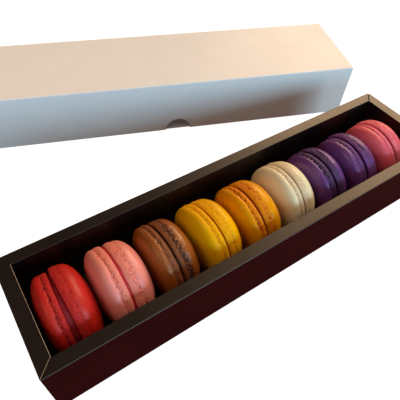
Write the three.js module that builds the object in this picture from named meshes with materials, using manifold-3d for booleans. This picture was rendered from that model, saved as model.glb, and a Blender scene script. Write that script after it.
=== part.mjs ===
// A macaron box: nine macarons standing on edge in a long dark card tray with a thick folded frame,
// and the tray's white lift-off lid, lying open side down behind it and turned a little.
// Millimetres, +Z up, +X along the tray; the origin is at the middle of the tray's underside.

import * as THREE from "three";
import { mergeVertices } from "three/addons/utils/BufferGeometryUtils.js";
import Module from "manifold-3d";

const wasm = await Module();
wasm.setup();

// The tray: a long card box whose walls fold back on themselves into a flat, thick rim.
const TRAY_LENGTH = 280;
const TRAY_WIDTH = 69;
const TRAY_HEIGHT = 42;
const SIDE_RIM = 7.2;
const END_RIM = 7.5;
const TRAY_FLOOR = 1.5;

// The lid slips over the tray, so it is the tray's size with its own card and a little play outside.
const LID_CARD = 1;
const LID_SIDE_PLAY = 0.2;
const LID_END_PLAY = 2.5;
const LID_LENGTH = TRAY_LENGTH + 2 * (LID_CARD + LID_END_PLAY);
const LID_WIDTH = TRAY_WIDTH + 2 * (LID_CARD + LID_SIDE_PLAY);
const LID_HEIGHT = 43;
const LID_CENTRE_X = 32.5;
const LID_CENTRE_Y = 147;
const LID_TURN = -20.8;
const THUMB_NOTCH_RADIUS = 10;
const THUMB_NOTCH_SIDES = 28;

// Folded card has a small round along its folds and corners.
const FOLD_RADIUS = 0.7;
const FOLD_STEPS = 2;

// A macaron: two baked shells round a filling. The foot is the ruffled band next to the filling.
const MACARON_SIDES = 30;
const FOOT_RELIEF = 0.35;
const DOME_RINGS = 5;
const DOME_FULLNESS = 2.35;
const DOME_RELIEF = 0.25;
const FILLING_SIDES = 24;
const FILLING_SETBACK = 1.5;
const FILLING_EDGE_ROUND = 0.03;

// How far a shell reaches at each level, as a share of its radius. The foot starts at a crisp lip
// and is widest near its middle, the groove above it is narrow, and the dome's skirt overhangs it.
const LIP_REACH = 0.965;
const FOOT_LOW_REACH = 0.99;
const FOOT_HIGH_REACH = 0.985;
const GROOVE_REACH = 0.965;
const SKIRT_REACH = 0.985;
const SKIRT_START = 0.06;

// The edge is uneven: slow lobes round the whole shell, quick ruffles round the foot.
const LOBES = [{ count: 2, weight: 0.6 }, { count: 3, weight: 0.4 }];
const RUFFLES = [{ count: 7, weight: 0.4 }, { count: 10, weight: 0.35 }, { count: 13, weight: 0.25 }];

// Pieces that touch keep this gap.
const GAP = 0.3;

// The nine macarons, from the near end of the tray. x and y place the middle of the filling,
// turn swings it about the vertical and lean tips its top towards the near end, in degrees.
// Each shell has its own radius, its own thickness from the filling's middle to the dome's top, and
// its own foot height. Filling is the space between the shells. A shell with a swing of its own
// opens the seam on one side, and its filling is a wedge.
const MACARONS = [
  { name: "red", shellColour: 0xb0261c, fillingColour: 0x7c2030, x: -118.5, y: -0.7, turn: 0.4, lean: 0.9,
    radius: [22.1, 23], thickness: [13.2, 15.3], foot: [3.3, 4.1], filling: 2.6, swing: [-2.4, 0.8] },
  { name: "pink", shellColour: 0xd98a78, fillingColour: 0xa01c22, x: -89, y: -1.1, turn: 1, lean: -0.9,
    radius: [22.8, 22.3], thickness: [13.6, 15.7], foot: [4.1, 4.6], filling: 2 },
  { name: "brown", shellColour: 0x8a5426, fillingColour: 0x3a1c10, x: -60.2, y: -0.9, turn: 2.1, lean: 1.2,
    radius: [22.5, 22.1], thickness: [12.3, 15.5], foot: [3.3, 4.6], filling: 1.8 },
  { name: "yellow", shellColour: 0xd9a012, fillingColour: 0xc8860f, x: -31.4, y: -1.5, turn: 3.7, lean: 1.6,
    radius: [22.9, 22.4], thickness: [12.5, 15.3], foot: [3.4, 3.6], filling: 1.5 },
  { name: "orange", shellColour: 0xd08412, fillingColour: 0x9a4c0a, x: -3.1, y: -1.7, turn: 1.2, lean: 4.7,
    radius: [22.5, 22.4], thickness: [12, 17], foot: [3.4, 4.2], filling: 1.7 },
  { name: "cream", shellColour: 0xd2b98c, fillingColour: 0xb08a5a, x: 26.9, y: -0.4, turn: 0.1, lean: 0.3,
    radius: [22.7, 22.6], thickness: [12.2, 14.9], foot: [3.3, 3.2], filling: 1.4 },
  { name: "violet_a", shellColour: 0x5a3a6c, fillingColour: 0x1e0f24, x: 55.2, y: -1.3, turn: 1, lean: 4.8,
    radius: [22, 22.2], thickness: [12.5, 13.7], foot: [4, 3.4], filling: 1.7 },
  { name: "violet_b", shellColour: 0x5a3a6c, fillingColour: 0x1e0f24, x: 83.1, y: -1.9, turn: -1.4, lean: 7,
    radius: [21.9, 22.8], thickness: [13.2, 14.2], foot: [3.3, 3.4], filling: 1.4 },
  { name: "rose", shellColour: 0xd2585c, fillingColour: 0xa03034, x: 112.2, y: -1.4, turn: -0.4, lean: 8.8,
    radius: [22.1, 22.2], thickness: [13.7, 13.8], foot: [2.9, 3.2], filling: 1.6 },
];

const part = new THREE.Group();

function addPiece(parent, name, geometry, look) {
  const piece = new THREE.Mesh(geometry, new THREE.MeshStandardMaterial({ ...look, metalness: 0 }));
  piece.name = name;
  parent.add(piece);
  return piece;
}

function toSolid(geometry) {
  const bare = geometry.index ? geometry.toNonIndexed() : geometry.clone();
  bare.deleteAttribute("normal");
  bare.deleteAttribute("uv");
  const closed = mergeVertices(bare);
  return new wasm.Manifold(
    new wasm.Mesh({
      numProp: 3,
      vertProperties: new Float32Array(closed.attributes.position.array),
      triVerts: new Uint32Array(closed.index.array),
    }),
  );
}

function toGeometry(solid) {
  const mesh = solid.getMesh();
  const geometry = new THREE.BufferGeometry();
  geometry.setAttribute("position", new THREE.BufferAttribute(mesh.vertProperties, 3));
  geometry.setIndex(new THREE.BufferAttribute(mesh.triVerts, 1));
  geometry.computeVertexNormals();
  return geometry;
}

// A block standing on z = 0 with rounded upright corners and a small round along its folds.
function foldedBlock(length, width, height) {
  const x = length / 2;
  const y = width / 2;
  const outline = new THREE.Shape();
  outline.absarc(x - FOLD_RADIUS, y - FOLD_RADIUS, FOLD_RADIUS, 0, Math.PI / 2);
  outline.absarc(FOLD_RADIUS - x, y - FOLD_RADIUS, FOLD_RADIUS, Math.PI / 2, Math.PI);
  outline.absarc(FOLD_RADIUS - x, FOLD_RADIUS - y, FOLD_RADIUS, Math.PI, 1.5 * Math.PI);
  outline.absarc(x - FOLD_RADIUS, FOLD_RADIUS - y, FOLD_RADIUS, 1.5 * Math.PI, 2 * Math.PI);
  outline.closePath();
  const block = new THREE.ExtrudeGeometry(outline, {
    depth: height - 2 * FOLD_RADIUS,
    curveSegments: FOLD_STEPS,
    bevelEnabled: true,
    bevelThickness: FOLD_RADIUS,
    bevelSize: FOLD_RADIUS / 2,
    bevelOffset: -FOLD_RADIUS / 2,
    bevelSegments: FOLD_STEPS,
  });
  return block.translate(0, 0, FOLD_RADIUS);
}

function boxBetween(low, high) {
  const size = high.map((value, axis) => value - low[axis]);
  const middle = high.map((value, axis) => (value + low[axis]) / 2);
  return new THREE.BoxGeometry(...size).translate(...middle);
}

function makeTray() {
  const insideX = TRAY_LENGTH / 2 - END_RIM;
  const insideY = TRAY_WIDTH / 2 - SIDE_RIM;
  const inside = boxBetween([-insideX, -insideY, TRAY_FLOOR], [insideX, insideY, 2 * TRAY_HEIGHT]);
  const block = toSolid(foldedBlock(TRAY_LENGTH, TRAY_WIDTH, TRAY_HEIGHT));
  return toGeometry(block.subtract(toSolid(inside)));
}

// The lid is open below. A half-moon thumb notch is cut in the middle of both long edges.
// The block starts below the floor and is cut off there, so the open edge is square.
function makeLid() {
  const outX = LID_LENGTH / 2;
  const outY = LID_WIDTH / 2;
  const insideX = outX - LID_CARD;
  const insideY = outY - LID_CARD;
  const spare = 5;
  const block = foldedBlock(LID_LENGTH, LID_WIDTH, LID_HEIGHT + spare).translate(0, 0, -spare);
  const belowFloor = boxBetween([-2 * outX, -2 * outY, -2 * spare], [2 * outX, 2 * outY, 0]);
  const inside = boxBetween([-insideX, -insideY, -spare], [insideX, insideY, LID_HEIGHT - LID_CARD]);
  const notch = new THREE.CylinderGeometry(
    THUMB_NOTCH_RADIUS,
    THUMB_NOTCH_RADIUS,
    2 * LID_WIDTH,
    THUMB_NOTCH_SIDES,
  );
  const cuts = [belowFloor, inside, notch].map(toSolid);
  return toGeometry(cuts.reduce((solid, cut) => solid.subtract(cut), toSolid(block)));
}

// The same run of numbers between 0 and 1 for the same seed, so each shell is uneven its own way.
function seededDraw(seed) {
  let state = seed * 7919 + 17;
  return () => {
    state = (state * 16807) % 2147483647;
    return state / 2147483647;
  };
}

// A sum of sine waves round the edge, between -1 and 1, each starting at a drawn angle.
function wavesRound(waves, draw) {
  const placed = waves.map((wave) => ({ ...wave, start: 2 * Math.PI * draw() }));
  return (turn) =>
    placed.reduce((sum, wave) => sum + wave.weight * Math.sin(wave.count * turn + wave.start), 0);
}

// From the middle of the underside, out round the foot and its groove, and over the dome. The dome
// is a superellipse, flatter on top than a ball.
function shellProfile(radius, height, foot) {
  const profile = [
    [0, 0],
    [LIP_REACH * radius, 0],
    [FOOT_LOW_REACH * radius, 0.15 * foot],
    [radius, 0.5 * foot],
    [FOOT_HIGH_REACH * radius, 0.85 * foot],
    [GROOVE_REACH * radius, foot],
  ];
  for (let ring = 0; ring < DOME_RINGS; ring += 1) {
    const angle = (SKIRT_START + ((1 - SKIRT_START) * ring) / DOME_RINGS) * (Math.PI / 2);
    const across = Math.cos(angle) ** (2 / DOME_FULLNESS);
    const up = Math.sin(angle) ** (2 / DOME_FULLNESS);
    profile.push([SKIRT_REACH * radius * across, foot + (height - foot) * up]);
  }
  profile.push([0, height]);
  return profile.map(([across, up]) => new THREE.Vector2(across, up));
}

// A shell stands on its flat underside. Its lobes grow towards its edge, and its ruffles are
// deepest at the middle of the foot and end at the groove.
function makeShell(radius, height, foot, seed) {
  const geometry = new THREE.LatheGeometry(shellProfile(radius, height, foot), MACARON_SIDES);
  const draw = seededDraw(seed);
  const lobes = wavesRound(LOBES, draw);
  const ruffle = wavesRound(RUFFLES, draw);
  const position = geometry.attributes.position;
  for (let index = 0; index < position.count; index += 1) {
    const x = position.getX(index);
    const up = position.getY(index);
    const z = position.getZ(index);
    const across = Math.hypot(x, z);
    if (across < 1) continue;
    const turn = Math.atan2(z, x);
    const onFoot = up < 0.99 * foot ? Math.sin((Math.PI * (up + 0.2 * foot)) / (1.2 * foot)) : 0;
    const push = (DOME_RELIEF * lobes(turn) * across) / radius + FOOT_RELIEF * ruffle(turn) * onFoot;
    position.setX(index, (x * (across + push)) / across);
    position.setZ(index, (z * (across + push)) / across);
  }
  return geometry;
}

// A round layer about X. Where the shells swing apart, its two faces follow them.
function makeFilling(radius, thickness, swing) {
  const half = thickness / 2;
  const face = (1 - FILLING_EDGE_ROUND) * radius;
  const profile = [[0, -half], [face, -half], [radius, 0], [face, half], [0, half]];
  const points = profile.map(([across, up]) => new THREE.Vector2(across, up));
  const geometry = new THREE.LatheGeometry(points, FILLING_SIDES).rotateZ(-Math.PI / 2);
  const slopes = swing.map(Math.tan);
  const position = geometry.attributes.position;
  for (let index = 0; index < position.count; index += 1) {
    const x = position.getX(index);
    const towardsB = (x / half + 1) / 2;
    const slope = slopes[0] * (1 - towardsB) + slopes[1] * towardsB;
    position.setX(index, x - slope * position.getY(index));
  }
  return geometry;
}

// A macaron stands on its edge: its axis runs along the tray, with shell a towards the near end.
function addMacaron(macaron, place) {
  const group = new THREE.Group();
  const name = `macaron_${place + 1}_${macaron.name}`;
  const swing = (macaron.swing ?? [0, 0]).map(THREE.MathUtils.degToRad);
  const shellStart = macaron.filling / 2;
  ["a", "b"].forEach((side, index) => {
    const facing = index === 0 ? 1 : -1;
    const seed = 2 * place + index + 1;
    const height = macaron.thickness[index] - shellStart;
    const shell = makeShell(macaron.radius[index], height, macaron.foot[index], seed);
    shell.translate(0, shellStart, 0).rotateZ((facing * Math.PI) / 2 + swing[index]);
    addPiece(group, `${name}_shell_${side}`, shell, { color: macaron.shellColour, roughness: 0.5 });
  });
  const fillingRadius = Math.min(...macaron.radius) - FILLING_SETBACK;
  const filling = makeFilling(fillingRadius, macaron.filling - 2 * GAP, swing);
  addPiece(group, `${name}_filling`, filling, { color: macaron.fillingColour, roughness: 0.6 });

  const lean = THREE.MathUtils.degToRad(macaron.lean);
  const turn = THREE.MathUtils.degToRad(macaron.turn);
  group.rotation.set(0, -lean, turn, "ZYX");
  const lowest = new THREE.Box3().setFromObject(group, true).min.z;
  group.position.set(macaron.x, macaron.y, TRAY_FLOOR + GAP - lowest);
  part.add(group);
}

addPiece(part, "tray", makeTray(), { color: 0x2a0f10, roughness: 0.4 });

const lid = addPiece(part, "lid", makeLid(), { color: 0xe9e4dc, roughness: 0.35 });
lid.position.set(LID_CENTRE_X, LID_CENTRE_Y, 0);
lid.rotation.z = THREE.MathUtils.degToRad(LID_TURN);

MACARONS.forEach(addMacaron);

export default part;
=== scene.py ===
from math import atan2, cos, hypot, pi, radians, sin, tau

import bmesh
import bpy
from mathutils import Euler, Matrix, Vector, noise


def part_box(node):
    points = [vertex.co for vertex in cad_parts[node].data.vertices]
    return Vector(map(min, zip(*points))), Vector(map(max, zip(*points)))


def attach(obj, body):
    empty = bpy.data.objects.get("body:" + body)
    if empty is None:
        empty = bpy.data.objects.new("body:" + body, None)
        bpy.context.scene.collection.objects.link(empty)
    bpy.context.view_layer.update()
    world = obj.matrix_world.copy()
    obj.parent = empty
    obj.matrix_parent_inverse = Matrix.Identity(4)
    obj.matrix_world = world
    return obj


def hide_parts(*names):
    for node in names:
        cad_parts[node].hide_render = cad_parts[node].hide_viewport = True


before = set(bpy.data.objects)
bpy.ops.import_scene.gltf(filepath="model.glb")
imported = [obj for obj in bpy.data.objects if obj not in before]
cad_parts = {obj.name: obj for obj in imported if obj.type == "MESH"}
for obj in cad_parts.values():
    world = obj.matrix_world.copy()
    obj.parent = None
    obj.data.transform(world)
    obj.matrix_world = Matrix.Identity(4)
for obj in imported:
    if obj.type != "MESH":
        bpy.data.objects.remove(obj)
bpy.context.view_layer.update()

# The camera looks down over the near long side of the tray from close by, turned towards the far
# end, so that the tray runs from the lower left to the upper right of a square picture.
camera_data = bpy.data.cameras.new("camera")
camera_data.sensor_width = 36
camera_data.lens = 37.85
camera_data.clip_start = 0.01
camera = bpy.data.objects.new("camera", camera_data)
camera.location = (-0.1213, -0.1114, 0.2293)
camera.rotation_euler = Euler((0.69132, -0.0485, -0.5861))
bpy.context.scene.collection.objects.link(camera)
bpy.context.scene.camera = camera
bpy.context.scene.view_settings.view_transform = "Standard"

# Tray: a long tray of stiff board covered in dark satin laminate, burgundy outside. Each wall is
# folded over into a broad flat rim, and the four rims meet in mitres at the corners. The left end's
# rim is a flap, so the pale cut edge of its board shows along the opening and down one mitre.
mm = 0.001
tray_low, tray_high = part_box("tray")
tray_size = tray_high - tray_low
SIDE_RIM = 7.2 * mm
END_RIM = 7.5 * mm
TRAY_FLOOR = 1.5 * mm
BOARD = 0.55 * mm
FLAP_OVERHANG = 0.35 * mm
OUTER_FOLD = 0.6 * mm
INNER_FOLD = 0.2 * mm
CORNER_ROUND = 1.2 * mm
MITRE_GAP = 0.4 * mm
WIDEST_MITRE_GAP = 0.9 * mm
MITRE_DEPTH = 1.1 * mm
MITRE_OVERRUN = 0.2
CUT_EDGE = 0.17 * mm
WALL_BAND = 0.6 * CORNER_ROUND
RIM_CARD_END = 0.25
SHARP_TURN = 40
STRAIGHT = 0.9
TIPPED_UP = 0.1
TINY = 0.01 * mm
RIM_LOOK, OUTER_LOOK, RAW_LOOK = range(3)


def rgb(red, green, blue):
    """A colour as it looks on a screen, from 0 to 255, turned into the light it reflects."""
    channels = [value / 255 for value in (red, green, blue)]
    linear = [c / 12.92 if c <= 0.04045 else ((c + 0.055) / 1.055) ** 2.4 for c in channels]
    return (*linear, 1)


class Wire:
    """A value in a material's node tree, worked out with ordinary sums."""

    def __init__(self, tree, socket=None):
        self.tree = tree
        self.socket = socket

    def node(self, kind, settings=None, sockets=None, output=0):
        """Adds a node, sets it up, and gives its sockets their values or links."""
        made = self.tree.nodes.new("ShaderNode" + kind)
        for name, value in (settings or {}).items():
            setattr(made, name, value)
        for name, value in (sockets or {}).items():
            if isinstance(value, Wire):
                self.tree.links.new(value.socket, made.inputs[name])
            else:
                made.inputs[name].default_value = value
        return Wire(self.tree, made.outputs[output])

    def sum(self, operation, first, second):
        return self.node("Math", {"operation": operation}, {0: first, 1: second})

    def __add__(self, other):
        return self.sum("ADD", self, other)

    def __radd__(self, other):
        return self.sum("ADD", other, self)

    def __sub__(self, other):
        return self.sum("SUBTRACT", self, other)

    def __rsub__(self, other):
        return self.sum("SUBTRACT", other, self)

    def __mul__(self, other):
        return self.sum("MULTIPLY", self, other)

    def __rmul__(self, other):
        return self.sum("MULTIPLY", other, self)

    def mix(self, first, second):
        """The first colour where this value is 0, and the second where it is 1."""
        return self.node("Mix", {"data_type": "RGBA"}, {0: self, 6: first, 7: second}, 2)


def new_material(name, roughness, **constants):
    """A material with its surface shader, and a wire to work in its tree with."""
    material = bpy.data.materials.new(name)
    material.use_nodes = True
    surface = material.node_tree.nodes["Principled BSDF"]
    surface.inputs["Roughness"].default_value = roughness
    for socket, value in constants.items():
        surface.inputs[socket.replace("_", " ")].default_value = value
    return material, surface, Wire(material.node_tree)


def connect(wire, node, socket):
    wire.tree.links.new(wire.socket, node.inputs[socket])


def add_object(name, mesh, *materials):
    """Puts a mesh in the scene, with its materials in the order that its faces count them."""
    for material in materials:
        mesh.materials.append(material)
    made = bpy.data.objects.new(name, mesh)
    bpy.context.scene.collection.objects.link(made)
    return made


def shade(mesh):
    """Smooth shading, with hard lines only where the card turns sharply."""
    mesh.shade_smooth()
    mesh.set_sharp_from_angle(angle=radians(SHARP_TURN))


def apply_modifiers(piece):
    """Fixes a piece's modifiers in its mesh."""
    seen = piece.evaluated_get(bpy.context.evaluated_depsgraph_get())
    rough = piece.data
    piece.data = bpy.data.meshes.new_from_object(seen)
    piece.modifiers.clear()
    bpy.data.meshes.remove(rough)


def card_material(name, colour, fleck, roughness, gloss, grain, grain_height):
    """Laminated card: an almost even colour, a fine tooth and a slow waviness in its sheen."""
    material, surface, wire = new_material(
        name, roughness, Specular_IOR_Level=gloss, Specular_Tint=(1, 0.87, 0.78, 1)
    )
    place = wire.node("TexCoord", output="Object")
    cloud = wire.node("TexNoise", {}, {"Vector": place, "Scale": 38, "Detail": 3})
    tooth = wire.node("TexNoise", {}, {"Vector": place, "Scale": grain, "Detail": 2})
    tint = wire.node("MapRange", {}, {"Value": cloud, "From Min": 0.35, "From Max": 0.65})
    connect(tint.mix(colour, fleck), surface, "Base Color")
    connect(roughness + 0.12 * (cloud - 0.5) + 0.08 * (tooth - 0.5), surface, "Roughness")
    relief = wire.node(
        "Bump", {}, {"Height": tooth + 0.6 * cloud, "Strength": 0.35, "Distance": grain_height}
    )
    connect(relief, surface, "Normal")
    return material


CARD_TOOTH = 2600
CARD_RELIEF = 0.06 * mm
BOARD_TOOTH = 4000
BOARD_RELIEF = 0.1 * mm
rim_card = card_material("rim_card", rgb(11, 3, 3), rgb(14, 5, 4), 0.38, 0.7, CARD_TOOTH, CARD_RELIEF)
outer_card = card_material(
    "outer_card", rgb(54, 7, 8), rgb(60, 9, 10), 0.45, 0.12, CARD_TOOTH, CARD_RELIEF
)
raw_board = card_material(
    "raw_board", rgb(192, 172, 150), rgb(172, 150, 128), 0.9, 0.1, BOARD_TOOTH, BOARD_RELIEF
)

tray_mesh = bmesh.new()
bmesh.ops.create_cube(tray_mesh, size=1)
bmesh.ops.scale(tray_mesh, vec=tray_size, verts=tray_mesh.verts)
bmesh.ops.translate(tray_mesh, vec=(tray_low + tray_high) / 2, verts=tray_mesh.verts)
opening = [face for face in tray_mesh.faces if face.normal.z > STRAIGHT]
bmesh.ops.inset_region(tray_mesh, faces=opening, thickness=SIDE_RIM, use_even_offset=True)
end_share = (tray_size.x / 2 - END_RIM) / (tray_size.x / 2 - SIDE_RIM)
bmesh.ops.scale(tray_mesh, vec=(end_share, 1, 1), verts=opening[0].verts)


def sink(mesh, face, depth, widen=0):
    """Pushes a level face down, or spreads it along the tray, with new walls behind it."""
    low_face = bmesh.ops.extrude_discrete_faces(mesh, faces=[face])["faces"][0]
    bmesh.ops.translate(mesh, vec=(0, 0, -depth), verts=low_face.verts)
    for vert in low_face.verts:
        vert.co.x += widen if vert.co.x > 0 else -widen
    return low_face


under_flap = sink(tray_mesh, opening[0], BOARD)
behind_flap = sink(tray_mesh, under_flap, 0, FLAP_OVERHANG)
sink(tray_mesh, behind_flap, tray_high.z - BOARD - TRAY_FLOOR)

# Each long inner wall is one face from the rim down, past the ends of the flaps.
for wall_y in (SIDE_RIM - tray_size.y / 2, tray_size.y / 2 - SIDE_RIM):
    wall = []
    for face in tray_mesh.faces:
        if all(abs(vert.co.y - wall_y) < TINY for vert in face.verts):
            wall.append(face)
    bmesh.ops.dissolve_faces(tray_mesh, faces=wall)


def edges_where(mesh, test):
    """The edges whose middle and direction pass a test."""
    chosen = []
    for edge in mesh.edges:
        first, second = (vert.co for vert in edge.verts)
        if test((first + second) / 2, (second - first).normalized()):
            chosen.append(edge)
    return chosen


def round_edges(mesh, edges, radius, segments):
    bmesh.ops.bevel(
        mesh,
        geom=edges,
        offset=radius,
        offset_type="OFFSET",
        affect="EDGES",
        segments=segments,
        profile=0.5,
        material=-1,
        clamp_overlap=True,
    )


def on_outer_corner(middle, way):
    at_end = abs(abs(middle.x) - tray_size.x / 2) < TINY
    at_side = abs(abs(middle.y) - tray_size.y / 2) < TINY
    return at_end and at_side and abs(way.z) > STRAIGHT


def on_outer_fold(middle, way):
    at_end = abs(abs(middle.x) - tray_size.x / 2) < TINY
    at_side = abs(abs(middle.y) - tray_size.y / 2) < TINY
    return (at_end or at_side) and middle.z > tray_high.z - TINY


def on_inner_fold(middle, way):
    at_side = abs(abs(middle.y) - (tray_size.y / 2 - SIDE_RIM)) < TINY
    return at_side and middle.z > tray_high.z - TINY and abs(way.x) > STRAIGHT


round_edges(tray_mesh, edges_where(tray_mesh, on_outer_corner), CORNER_ROUND, segments=4)
round_edges(tray_mesh, edges_where(tray_mesh, on_outer_fold), OUTER_FOLD, segments=4)
round_edges(tray_mesh, edges_where(tray_mesh, on_inner_fold), INNER_FOLD, segments=3)

# The left flap's faces are cut along the two lines where its bare board starts.
left_opening = END_RIM - tray_size.x / 2
left_flap = []
for face in tray_mesh.faces:
    over_wall = face.calc_center_median().x < left_opening and face.verts[0].co.z > TRAY_FLOOR
    if over_wall and face.normal.z > TIPPED_UP:
        left_flap.append(face)
bare_line = Vector((left_opening - CUT_EDGE, 0, 0))
mitre_line = Vector((-tray_size.x / 2, -tray_size.y / 2, 0))
off_mitre = Vector((-SIDE_RIM, END_RIM, 0)).normalized()
bare_width = CUT_EDGE + MITRE_GAP / 2
for point, normal in ((bare_line, Vector((1, 0, 0))), (mitre_line + bare_width * off_mitre, off_mitre)):
    corners = {vert for face in left_flap for vert in face.verts}
    sides = {edge for face in left_flap for edge in face.edges}
    parted = bmesh.ops.bisect_plane(
        tray_mesh, geom=[*left_flap, *sides, *corners], dist=1e-7, plane_co=point, plane_no=normal
    )
    left_flap = [part for part in parted["geom"] if isinstance(part, bmesh.types.BMFace)]
for face in left_flap:
    middle = face.calc_center_median()
    off_line = (middle - mitre_line).dot(off_mitre)
    if middle.x > bare_line.x or 0 < off_line < bare_width:
        face.material_index = RAW_LOOK
tray_body = bpy.data.meshes.new("tray_body")
tray_mesh.to_mesh(tray_body)
tray_mesh.free()
tray = add_object("tray_card", tray_body, rim_card, outer_card, raw_board)

# A thin blade along each mitre that shows as a line is cut out of the rim.
mitre_mesh = bmesh.new()
for end, side, gap in ((-1, -1, MITRE_GAP), (1, -1, MITRE_GAP), (1, 1, WIDEST_MITRE_GAP)):
    outer = Vector((end * tray_size.x / 2, side * tray_size.y / 2, tray_high.z))
    inner = outer - Vector((end * END_RIM, side * SIDE_RIM, 0))
    reach = outer + MITRE_OVERRUN * (outer - inner)
    along = reach - inner
    blade = bmesh.ops.create_cube(mitre_mesh, size=1)["verts"]
    bmesh.ops.scale(mitre_mesh, vec=(along.length, gap, 2 * MITRE_DEPTH), verts=blade)
    turn = Matrix.Rotation(atan2(along.y, along.x), 3, "Z")
    bmesh.ops.rotate(mitre_mesh, matrix=turn, verts=blade)
    bmesh.ops.translate(mitre_mesh, vec=(reach + inner) / 2, verts=blade)
mitre_body = bpy.data.meshes.new("mitres")
mitre_mesh.to_mesh(mitre_body)
mitre_mesh.free()
mitres = add_object("mitres", mitre_body, rim_card)
mitre_cut = tray.modifiers.new("mitres", "BOOLEAN")
mitre_cut.operation = "DIFFERENCE"
mitre_cut.object = mitres
mitre_cut.solver = "EXACT"
mitre_cut.material_mode = "TRANSFER"
flatten = tray.modifiers.new("flat faces", "WEIGHTED_NORMAL")
flatten.keep_sharp = True
shade(tray.data)
apply_modifiers(tray)
bpy.data.objects.remove(mitres)

# The flap's edge is bare too. The rim's dark card wraps over the outer fold, and the burgundy card
# starts just below it.
for face in tray.data.polygons:
    outwards = max(abs(face.center.x) - tray_size.x / 2, abs(face.center.y) - tray_size.y / 2)
    at_opening = face.normal.x > STRAIGHT and outwards < -END_RIM / 2
    if at_opening and face.center.x < 0 and face.center.z > tray_high.z - BOARD:
        face.material_index = RAW_LOOK
    elif face.material_index == RIM_LOOK and outwards > -WALL_BAND and face.normal.z < RIM_CARD_END:
        face.material_index = OUTER_LOOK
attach(tray, "root")
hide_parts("tray")

# Lid: a lift-off lid of white satin-coated board, a little larger than the tray, lying open side
# down. A half-moon thumb notch is punched in the middle of each long wall, and the cut edges show
# the greyer board.
LID_BOARD = 1 * mm
LID_FOLD = 0.7 * mm
LID_LENGTH = 287 * mm
LID_WIDTH = 71.4 * mm
LID_TURN = radians(-20.8)
NOTCH_RADIUS = 10 * mm
lid_low, lid_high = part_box("lid")
lid_centre = (lid_low + lid_high) / 2

LID_TOOTH = 2200
LID_RELIEF = 0.04 * mm
lid_outside = card_material(
    "lid_outside", rgb(246, 244, 241), rgb(243, 241, 238), 0.4, 0.3, LID_TOOTH, LID_RELIEF
)
lid_edge = card_material(
    "lid_edge", rgb(188, 180, 170), rgb(170, 160, 150), 0.9, 0.2, BOARD_TOOTH, BOARD_RELIEF
)

lid_mesh = bmesh.new()
bmesh.ops.create_cube(lid_mesh, size=1)
bmesh.ops.scale(lid_mesh, vec=(LID_LENGTH, LID_WIDTH, lid_high.z), verts=lid_mesh.verts)
bmesh.ops.translate(lid_mesh, vec=(0, 0, lid_high.z / 2), verts=lid_mesh.verts)
underside = [face for face in lid_mesh.faces if face.normal.z < -STRAIGHT]
bmesh.ops.delete(lid_mesh, geom=underside, context="FACES_ONLY")
folds = edges_where(lid_mesh, lambda middle, way: middle.z > TINY)
round_edges(lid_mesh, folds, LID_FOLD, segments=4)
lid_body = bpy.data.meshes.new("lid_body")
lid_mesh.to_mesh(lid_body)
lid_mesh.free()
lid = add_object("lid_card", lid_body, lid_outside, lid_edge)
board = lid.modifiers.new("board", "SOLIDIFY")
board.thickness = LID_BOARD
board.offset = -1
board.use_even_offset = True

punch_mesh = bmesh.new()
bmesh.ops.create_cone(
    punch_mesh,
    cap_ends=True,
    segments=96,
    radius1=NOTCH_RADIUS,
    radius2=NOTCH_RADIUS,
    depth=2 * LID_WIDTH,
    matrix=Matrix.Rotation(pi / 2, 4, "X"),
)
punch_body = bpy.data.meshes.new("punch")
punch_mesh.to_mesh(punch_body)
punch_mesh.free()
punch = add_object("punch", punch_body, lid_edge)
notch = lid.modifiers.new("notch", "BOOLEAN")
notch.operation = "DIFFERENCE"
notch.object = punch
notch.solver = "EXACT"
notch.material_mode = "TRANSFER"
flatten = lid.modifiers.new("flat faces", "WEIGHTED_NORMAL")
flatten.keep_sharp = True
shade(lid.data)
apply_modifiers(lid)
bpy.data.objects.remove(punch)
for face in lid.data.polygons:
    if face.normal.z < -STRAIGHT and face.center.z < TINY:
        face.material_index = 1
lid_place = Matrix.Translation((lid_centre.x, lid_centre.y, 0))
lid.data.transform(lid_place @ Matrix.Rotation(LID_TURN, 4, "Z"))
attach(lid, "root")
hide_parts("lid")

# Macarons: nine pairs of baked almond shells, standing on edge in the tray. A shell has a smooth
# satin dome, a row of burst bubbles under the dome's skirt, and a foot with a thin crisp lip that
# curls over the filling. Each was piped by hand, so every one is uneven in its own way.
ROUND_STEPS = 480
LIP_STEPS = 8
FOOT_STEPS = 20
DOME_STEPS = 20
LIP_START = 0.935
LIP_REACH = 0.98
LIP_CURL = 0.07
FOOT_BULGE = 0.5
GROOVE_REACH = 0.98
GROOVE = [(0.982, 1.002), (0.984, 1.01)]
GROOVE_TOP = 0.03
SKIRT_REACH = 0.985
DOME_FULLNESS = 2.35
SHOULDERS = (0.7, 0)

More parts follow.
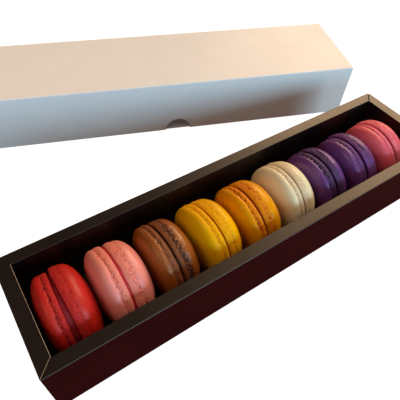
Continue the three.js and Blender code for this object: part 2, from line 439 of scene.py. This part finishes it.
# Sizes are in mm and angles in degrees. Of each pair, the first is for the shell towards the tray's
# left end. A swing opens a shell away from the filling, and a setback is how far in the filling ends.
# Dome, side, pit and cream are colours, pits is how many there are, and crumb is how rough the foot is.
# The pit colour is darker, and it is painted into the pits and every pore of the foot as shade.
MACARONS = [
    {"name": "1_red", "slot": "red", "turn": 0.4, "lean": 0.9, "swing": (-2.4, 0.8),
     "radius": (22.1, 23), "thickness": (13.2, 15.3), "foot": (3.3, 4.1),
     "filling": 2.6, "setback": 1.3, "cream": (150, 26, 36), "cream_gloss": 0.6,
     "dome": (192, 32, 22), "side": (182, 21, 14), "pit": (112, 6, 6),
     "pits": (0.9, 0.4), "crumb": (0.8, 1), "shine": 0.42, "gloss": 0.4, "tint": (1, 1, 1, 1)},
    {"name": "2_pink", "slot": "pink", "turn": 1, "lean": -0.9, "swing": (0, 0),
     "radius": (22.8, 22.3), "thickness": (13.6, 15.7), "foot": (4.1, 4.6),
     "filling": 2, "setback": 1, "cream": (206, 50, 62), "cream_gloss": 0.5,
     "dome": (238, 142, 128), "side": (228, 129, 109), "pit": (208, 96, 76),
     "pits": (0.7, 0.6), "crumb": (1, 1.3), "shine": 0.42, "gloss": 0.9, "tint": (0.9, 0.85, 1, 1)},
    {"name": "3_brown", "slot": "brown", "turn": 2.1, "lean": 1.2, "swing": (0, 0),
     "radius": (22.5, 22.1), "thickness": (12.3, 15.5), "foot": (3.3, 4.1),
     "filling": 1.8, "setback": 1.5, "cream": (66, 30, 18), "cream_gloss": 0.5,
     "dome": (150, 79, 22), "side": (124, 58, 12), "pit": (58, 21, 8),
     "pits": (0.6, 1.7), "crumb": (1.2, 1.6), "shine": 0.36, "gloss": 0.8, "tint": (1, 0.86, 0.7, 1)},
    {"name": "4_yellow", "slot": "yellow", "turn": 3.7, "lean": 1.6, "swing": (0, 0),
     "radius": (22.9, 22.4), "thickness": (12.5, 15.3), "foot": (3.4, 3.6),
     "filling": 1.5, "setback": 1.5, "cream": (206, 108, 6), "cream_gloss": 0.5,
     "dome": (241, 177, 1), "side": (240, 172, 1), "pit": (224, 142, 3),
     "pits": (0.8, 0.8), "crumb": (1.1, 1.2), "shine": 0.36, "gloss": 0.25, "tint": (1, 0.8, 0.4, 1)},
    {"name": "5_orange", "slot": "orange", "turn": 1.2, "lean": 4.7, "swing": (0, 0),
     "radius": (22.5, 22.4), "thickness": (12, 17), "foot": (3.4, 4.2),
     "filling": 1.7, "setback": 1.5, "cream": (164, 44, 6), "cream_gloss": 0.5,
     "dome": (234, 155, 1), "side": (224, 132, 1), "pit": (176, 66, 3),
     "pits": (1, 0.8), "crumb": (1, 1.1), "shine": 0.28, "gloss": 0.4, "tint": (1, 0.75, 0.35, 1)},
    {"name": "6_cream", "slot": "cream", "turn": 0.1, "lean": 0.3, "swing": (0, 0),
     "radius": (22.7, 22.6), "thickness": (12.2, 14.9), "foot": (3.3, 3.2),
     "filling": 1.4, "setback": 1.5, "cream": (200, 156, 104), "cream_gloss": 0.5,
     "dome": (240, 227, 186), "side": (222, 202, 168), "pit": (206, 174, 130),
     "pits": (0.5, 0.6), "crumb": (0.8, 1), "shine": 0.42, "gloss": 0.45, "tint": (1, 1, 1, 1)},
    {"name": "7_violet_a", "slot": "violet", "turn": 1, "lean": 4.8, "swing": (0, 0),
     "radius": (22, 22.2), "thickness": (12.5, 13.7), "foot": (4, 3.4),
     "filling": 1.7, "setback": 1.5, "cream": (26, 8, 26), "cream_gloss": 0.5,
     "dome": (101, 54, 124), "side": (60, 20, 72), "pit": (34, 12, 40),
     "pits": (1.1, 1.2), "crumb": (1.1, 1.5), "shine": 0.34, "gloss": 0.8, "tint": (0.8, 0.7, 1, 1)},
    {"name": "8_violet_b", "slot": "violet", "turn": -1.4, "lean": 7, "swing": (0, 0),
     "radius": (21.9, 22.8), "thickness": (13.2, 14.2), "foot": (3.3, 3.4),
     "filling": 1.4, "setback": 1.5, "cream": (30, 10, 30), "cream_gloss": 0.5,
     "dome": (105, 57, 120), "side": (112, 56, 126), "pit": (46, 18, 52),
     "pits": (0.8, 1), "crumb": (1.2, 1.5), "shine": 0.34, "gloss": 0.8, "tint": (0.8, 0.7, 1, 1)},
    {"name": "9_rose", "slot": "rose", "turn": -0.4, "lean": 8.8, "swing": (0, 0),
     "radius": (22.1, 22.2), "thickness": (13.7, 13.8), "foot": (2.9, 3.2),
     "filling": 1.6, "setback": 1.5, "cream": (186, 48, 58), "cream_gloss": 0.45,
     "dome": (236, 98, 114), "side": (250, 120, 138), "pit": (222, 86, 98),
     "pits": (0.5, 0.6), "crumb": (1, 1.1), "shine": 0.4, "gloss": 0.5, "tint": (1, 1, 1, 1)},
]


def spun(outline, steps):
    """A closed mesh turned about Z from half a section, whose ends are on the axis."""
    mesh = bmesh.new()
    verts = [mesh.verts.new((across, 0, up)) for across, up in outline]
    edges = [mesh.edges.new(pair) for pair in zip(verts, verts[1:])]
    bmesh.ops.spin(
        mesh,
        geom=verts + edges,
        cent=(0, 0, 0),
        axis=(0, 0, 1),
        angle=tau,
        steps=steps,
        use_merge=True,
    )
    bmesh.ops.remove_doubles(mesh, verts=mesh.verts, dist=0.0001)
    bmesh.ops.recalc_face_normals(mesh, faces=mesh.faces)
    return mesh


def shell_section():
    """Half the section of every shell. Across is a share of the radius, and up is 0 at the underside,
    1 at the groove between foot and dome, and 2 at the top of the dome."""
    section = [(0, 0), (0.4, 0), (0.75, 0), (0.9, 0)]  # the flat underside
    for step in range(LIP_STEPS + 1):
        share = step / LIP_STEPS
        section.append((LIP_START + (LIP_REACH - LIP_START) * share, -LIP_CURL * sin(pi * share)))
    for step in range(1, FOOT_STEPS + 1):
        level = step / FOOT_STEPS
        if level < FOOT_BULGE:
            inward = (1 - LIP_REACH) * (1 - level / FOOT_BULGE) ** 1.5
        else:
            inward = (1 - GROOVE_REACH) * ((level - FOOT_BULGE) / (1 - FOOT_BULGE)) ** 2
        section.append((1 - inward, level))
    section += GROOVE
    for step in range(1, DOME_STEPS + 1):
        angle = (step / DOME_STEPS) ** 1.3 * pi / 2
        across = SKIRT_REACH * max(0, cos(angle)) ** (2 / DOME_FULLNESS)
        section.append((across, 1 + max(GROOVE_TOP, sin(angle) ** (2 / DOME_FULLNESS))))
    return section


# Of each point of the plain shell: its way out from the axis, its share of the radius, and its level.
plain_shell = spun(shell_section(), ROUND_STEPS)
plain_places = []
for vert in plain_shell.verts:
    reach = hypot(vert.co.x, vert.co.y)
    outward = Vector((vert.co.x, vert.co.y, 0)) / max(reach, 1e-6)
    plain_places.append((outward, reach, vert.co.z))


def waves(spot, fineness, shift):
    """Smooth unevenness from about -1 to 1. The shift gives each shell its own."""
    return noise.noise(spot * fineness + shift)


# How deep each kind of unevenness is, in mm, and the levels and shares of the radius where it is found.
OUT_OF_ROUND = 0.3
DOME_DENTS = 0.14
DOME_RIPPLES = 0.03
SKIRT_WANDER = 0.35
SKIRT_RIPPLES = 0.2
SKIRT_SPREAD = 0.55
SKIRT_TOP = 1.6
LIP_WAVER = 0.16
LIP_TOP = 0.3
LIP_INSIDE = 0.93
FOOT_FOLDS = 0.2
FOOT_GRAIN = 0.14
FOOT_CRUMBS = 0.06
FOOT_TOP = 0.92
BUBBLE_LEVEL = 0.82
BUBBLE_RELIEF = 0.19
PIT_DEPTH = 0.2
EDGE_RADIUS = 22


def shape_shell(mesh, radius, height, foot, shoulder, seed, pits, crumb):
    """Gives the plain shell its size in mm and the unevenness of baking. Returns how deep in a pit
    and how far down the foot each point is, from 0 to 1."""
    shift = Vector((31.7 * seed, 17.3 * seed, 5.9 * seed))
    pit_depths = []
    foot_shares = []
    for vert, (outward, reach, level) in zip(mesh.verts, plain_places):
        up = level * foot if level < 1 else foot + (level - 1) * (height - foot)
        spot = outward * (reach * radius) + Vector((0, 0, up))
        push = OUT_OF_ROUND * waves(spot, 0.06, shift) * reach
        lift = 0
        pit = 0
        on_foot = 0
        if level > 1:
            lift = min(1, 3 * (level - 1)) * (DOME_DENTS * waves(spot, 0.13, -shift))
            lift += DOME_RIPPLES * waves(spot, 0.5, -shift)
            push += shoulder * sin(pi * (level - 1))
        if reach > LIP_INSIDE and level < SKIRT_TOP:
            around = outward * EDGE_RADIUS
            on_foot = max(0, min(1, (1.03 - level) / 0.08))
            wander = SKIRT_WANDER * waves(around, 0.15, shift)
            wander += SKIRT_RIPPLES * waves(around, 0.5, -shift)
            lift += wander * max(0, 1 - abs(level - 1) / SKIRT_SPREAD)
            if level < LIP_TOP:
                lift += LIP_WAVER * waves(around, 0.22, -shift) * (1 - level / LIP_TOP)
            folds = noise.noise(Vector((around.x * 0.3, around.y * 0.3, up * 0.14)) + shift)
            grain = waves(spot, 0.9, shift)
            crumbs = waves(spot, 2.1, -shift)
            body = max(0, 1 - abs(2.2 * level - 1) ** 3) if level < FOOT_TOP else 0
            push += crumb * body * (FOOT_FOLDS * folds + FOOT_GRAIN * grain + FOOT_CRUMBS * crumbs)
            band = min(1, 2 * max(0, 1 - abs(level - BUBBLE_LEVEL) / (0.24 + 0.12 * crumb)))
            if band > 0:
                patchy = 0.9 + 0.8 * waves(around, 0.12, -shift)
                bubbles = waves(spot, 0.95, -shift) + 0.75 * waves(spot, 2, shift)
                pit = band * max(0, min(1, 1.8 * (0.5 * pits * patchy - 0.38 - bubbles)))
                push += band * (BUBBLE_RELIEF * crumb * bubbles - 0.04) - PIT_DEPTH * pits * pit
        vert.co = spot + outward * push + Vector((0, 0, lift))
        pit_depths.append(pit)
        foot_shares.append(on_foot)
    return pit_depths, foot_shares


def shell_material(macaron):
    """Baked almond meringue: a satin skin with faint clouds, and a duller foot whose pits and every pore
    are painted darker, a painted shade.
    """
    material, surface, wire = new_material(
        "shell_" + macaron["name"],
        macaron["shine"],
        Specular_IOR_Level=macaron["gloss"],
        Specular_Tint=macaron["tint"],
    )
    dome, side, pit_shade_colour = (rgb(*macaron[key]) for key in ("dome", "side", "pit"))
    place = wire.node("TexCoord", output="Object")
    cloud = wire.node("TexNoise", {}, {"Vector": place, "Scale": 160, "Detail": 4})
    crumb = wire.node("TexNoise", {}, {"Vector": place, "Scale": 1500, "Detail": 4, "Roughness": 0.6})
    in_pit = wire.node("Attribute", {"attribute_name": "pit"}, output="Fac")
    on_foot = wire.node("Attribute", {"attribute_name": "foot"}, output="Fac")
    deeper = tuple(0.86 * channel for channel in dome[:3]) + (1,)
    mottle = wire.node("MapRange", {}, {"Value": cloud, "From Min": 0.35, "From Max": 0.7})
    skin = (0.5 * mottle).mix(dome, deeper)
    rim = (0.85 * on_foot).mix(skin, side)
    # Pits and small spots on the foot are painted towards the darker pit colour: painted shade in its
    # hollows and pore holes.
    pore_shade = wire.node(
        "MapRange", {}, {"Value": crumb, "From Min": 0.36, "From Max": 0.52, "To Min": 0.5, "To Max": 0}
    )
    connect((in_pit + pore_shade * on_foot).mix(rim, pit_shade_colour), surface, "Base Color")
    connect(macaron["shine"] + 0.3 * on_foot + 0.3 * in_pit + 0.16 * (cloud - 0.5), surface, "Roughness")
    relief = wire.node(
        "Bump", {}, {"Height": crumb * (0.3 + 2 * on_foot), "Strength": 0.5, "Distance": 0.12 * mm}
    )
    connect(relief, surface, "Normal")
    return material


def cream_material(macaron):
    """Piped filling: soft and slightly glossy, or a wet jam."""
    material, surface, wire = new_material(
        "cream_" + macaron["name"], macaron["cream_gloss"], Specular_IOR_Level=0.2
    )
    colour = rgb(*macaron["cream"])
    darker = tuple(0.6 * channel for channel in colour[:3]) + (1,)
    place = wire.node("TexCoord", output="Object")
    lumps = wire.node("TexNoise", {}, {"Vector": place, "Scale": 700, "Detail": 3})
    connect(lumps.mix(colour, darker), surface, "Base Color")
    relief = wire.node("Bump", {}, {"Height": lumps, "Strength": 0.4, "Distance": 0.2 * mm})
    connect(relief, surface, "Normal")
    return material


def place_macaron(mesh, macaron, facing, start, swing):
    """Stands a piece made about Z, in mm, on its edge in its macaron's place along the tray."""
    low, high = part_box(f"macaron_{macaron['name']}_filling")
    turn = Matrix.Rotation(radians(macaron["turn"]), 4, "Z")
    lean = Matrix.Rotation(-radians(macaron["lean"]), 4, "Y")
    swung = Matrix.Rotation(radians(swing), 4, "Z")
    on_edge = Matrix.Rotation(facing * pi / 2, 4, "Y")
    lifted = Matrix.Translation((0, 0, start * mm)) @ Matrix.Scale(mm, 4)
    mesh.transform(Matrix.Translation((low + high) / 2) @ turn @ lean @ swung @ on_edge @ lifted)


for number, macaron in enumerate(MACARONS):
    node_start = f"macaron_{macaron['name']}"
    shell_look = shell_material(macaron)
    for which, side in enumerate("ab"):
        start = macaron["filling"] / 2
        shell_mesh = plain_shell.copy()
        relief = shape_shell(
            shell_mesh,
            macaron["radius"][which],
            macaron["thickness"][which] - start,
            macaron["foot"][which],
            SHOULDERS[which],
            2 * number + which + 1,
            macaron["pits"][which],
            macaron["crumb"][which],
        )
        shell_body = bpy.data.meshes.new(f"{node_start}_shell_{side}")
        shell_mesh.to_mesh(shell_body)
        shell_mesh.free()
        for attribute_name, values in zip(("pit", "foot"), relief):
            attribute = shell_body.attributes.new(attribute_name, "FLOAT", "POINT")
            attribute.data.foreach_set("value", values)
        shell_body.shade_smooth()
        place_macaron(shell_body, macaron, 2 * which - 1, start, macaron["swing"][which])
        shell = add_object(f"shell_{macaron['name']}_{side}", shell_body, shell_look)
        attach(shell, "root")
        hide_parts(f"{node_start}_shell_{side}")
plain_shell.free()

# Fillings: a layer of cream or jam, pressed out almost to the feet. Its edge bulges and is uneven,
# and it stays a little way in from the shells' edges. Where the shells swing apart it is a wedge.
FILLING_ROUND_STEPS = 300
EDGE_STEPS = 12
EDGE_BULGE = 0.025
STUCK_IN = 0.05
EDGE_LUMPS = 0.5
EDGE_RIPPLES = 0.15

cream_section = [(0, -1), (0.5, -1)]
for step in range(EDGE_STEPS + 1):
    angle = (step / EDGE_STEPS - 0.5) * pi
    cream_section.append((1 - EDGE_BULGE * (1 - cos(angle)), sin(angle)))
cream_section += [(0.5, 1), (0, 1)]
plain_filling = spun(cream_section, FILLING_ROUND_STEPS)
for number, macaron in enumerate(MACARONS):
    half = macaron["filling"] / 2 + STUCK_IN
    reach = min(macaron["radius"]) - macaron["setback"]
    slopes = [radians(swing) for swing in macaron["swing"]]
    filling_mesh = plain_filling.copy()
    for vert in filling_mesh.verts:
        spot = Vector((vert.co.x * reach, vert.co.y * reach, vert.co.z * half))
        across = hypot(spot.x, spot.y)
        if across > 0.9 * reach:
            lump = waves(spot, 0.22, Vector((0, 0, 40 + 13 * number)))
            ripple = waves(spot, 0.8, Vector((0, 0, 90 + 7 * number)))
            share = 1 + (EDGE_LUMPS * lump + EDGE_RIPPLES * ripple) / across
            spot.x *= share
            spot.y *= share
        towards_b = (vert.co.z + 1) / 2
        spot.z -= spot.y * (slopes[0] * (1 - towards_b) + slopes[1] * towards_b)
        vert.co = spot
    filling_body = bpy.data.meshes.new(f"macaron_{macaron['name']}_filling")
    filling_mesh.to_mesh(filling_body)
    filling_mesh.free()
    filling_body.shade_smooth()
    place_macaron(filling_body, macaron, 1, 0, 0)
    filling = add_object("filling_" + macaron["name"], filling_body, cream_material(macaron))
    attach(filling, "root")
    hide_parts(f"macaron_{macaron['name']}_filling")
plain_filling.free()

# Floor: a plain pale sheet under everything, so bright that it is almost white in the picture. It
# lights the box only faintly. Under the lid its glow is painted dark, a painted shade.
WHITE = (1, 1, 1, 1)
PAPER = (0.1, 0.06, 0.05, 1)
# The floor's glow inside the lid's footprint: a painted shade.
PAINTED_SHADE_UNDER_LID = (0.05, 0.036, 0.034, 1)
SHADOW_TONE = (0.45, 0.45, 0.45, 1)
PALE_STRENGTH = 0.95
FLOOR_REACH = 6

floor_material = bpy.data.materials.new("floor")
floor_material.use_nodes = True
floor_wire = Wire(floor_material.node_tree)
floor_material.node_tree.nodes.remove(floor_material.node_tree.nodes["Principled BSDF"])
to_camera = floor_wire.node("LightPath", output="Is Camera Ray")
paper = floor_wire.node("BsdfDiffuse", {}, {"Color": PAPER})
from_lid = floor_wire.node(
    "Mapping",
    {"vector_type": "TEXTURE"},
    {
        "Vector": floor_wire.node("TexCoord", output="Object"),
        "Location": (lid_centre.x, lid_centre.y, 0),
        "Rotation": (0, 0, LID_TURN),
    },
)
along = floor_wire.node("SeparateXYZ", {}, {"Vector": from_lid})
across = floor_wire.node("SeparateXYZ", {}, {"Vector": from_lid}, 1)
# Inside the lid's footprint the floor's glow is turned down: painted shade under the lid.
in_length = along.sum("LESS_THAN", along.sum("ABSOLUTE", along, 0), LID_LENGTH / 2 - LID_BOARD)
in_width = across.sum("LESS_THAN", across.sum("ABSOLUTE", across, 0), LID_WIDTH / 2 - LID_BOARD)
sheet = (in_length * in_width).mix(WHITE, PAINTED_SHADE_UNDER_LID)
pale = floor_wire.node("Emission", {}, {"Color": sheet, "Strength": PALE_STRENGTH})
shaded = floor_wire.node("BsdfDiffuse", {}, {"Color": SHADOW_TONE})
white = floor_wire.node("AddShader", {}, {0: pale, 1: shaded})
seen = floor_wire.node("MixShader", {}, {0: to_camera, 1: paper, 2: white})
connect(seen, floor_material.node_tree.nodes["Material Output"], "Surface")
floor_mesh = bmesh.new()
bmesh.ops.create_grid(floor_mesh, x_segments=1, y_segments=1, size=FLOOR_REACH)
floor_body = bpy.data.meshes.new("floor")
floor_mesh.to_mesh(floor_body)
floor_mesh.free()
floor = add_object("floor", floor_body, floor_material)

# Light: large warm soft lights beyond the tray's far end, with a faint one opposite, and windows of
# cool daylight low down in front of its near side. A pale light overhead and a faint warm surround
# fill the shadows. Past the floor's edge, the camera sees the surround as white.
WARM = (1, 0.72, 0.45)
COOL = (0.58, 0.82, 1)
PALE = (1, 0.76, 0.7)
SKY = (0.3, 0.7, 1)
SURROUND = (1, 0.84, 0.76, 1)
SURROUND_STRENGTH = 0.1


def soft_light(name, colour, radiance, azimuth, elevation, distance, width, height):
    """A rectangle of even light, aimed at the middle of the tray. Angles are in degrees."""
    data = bpy.data.lights.new(name, "AREA")
    data.shape = "RECTANGLE"
    data.size = width
    data.size_y = height
    data.color = colour
    data.energy = radiance * pi * width * height
    light = bpy.data.objects.new(name, data)
    flat = cos(radians(elevation))
    way = Vector((cos(radians(azimuth)) * flat, sin(radians(azimuth)) * flat, sin(radians(elevation))))
    light.location = way * distance + Vector((0, 0, tray_high.z))
    light.rotation_euler = way.to_track_quat("Z", "Y").to_euler()
    bpy.context.scene.collection.objects.link(light)


soft_light("warm_light", WARM, 6.8, 25, 30, 3.5, 2.8, 1.4)
soft_light("high_light", WARM, 2.6, 2, 54, 3, 1.5, 1.5)
soft_light("left_light", WARM, 2.1, 180, 42, 3, 1.5, 1.5)
soft_light("top_light", PALE, 2.1, -80, 62, 3, 1.5, 1.5)
soft_light("cool_window", COOL, 8.6, -68, 13, 3, 1.5, 1.3)
soft_light("left_window", SKY, 4, 255, 14, 3, 1.5, 1.3)
surround = bpy.data.worlds.new("surround")
surround.use_nodes = True
surround_wire = Wire(surround.node_tree)
seen_directly = surround_wire.node("LightPath", output="Is Camera Ray")
background = surround.node_tree.nodes["Background"]
connect(seen_directly.mix(SURROUND, WHITE), background, "Color")
connect(SURROUND_STRENGTH + (1 - SURROUND_STRENGTH) * seen_directly, background, "Strength")
bpy.context.scene.world = surround
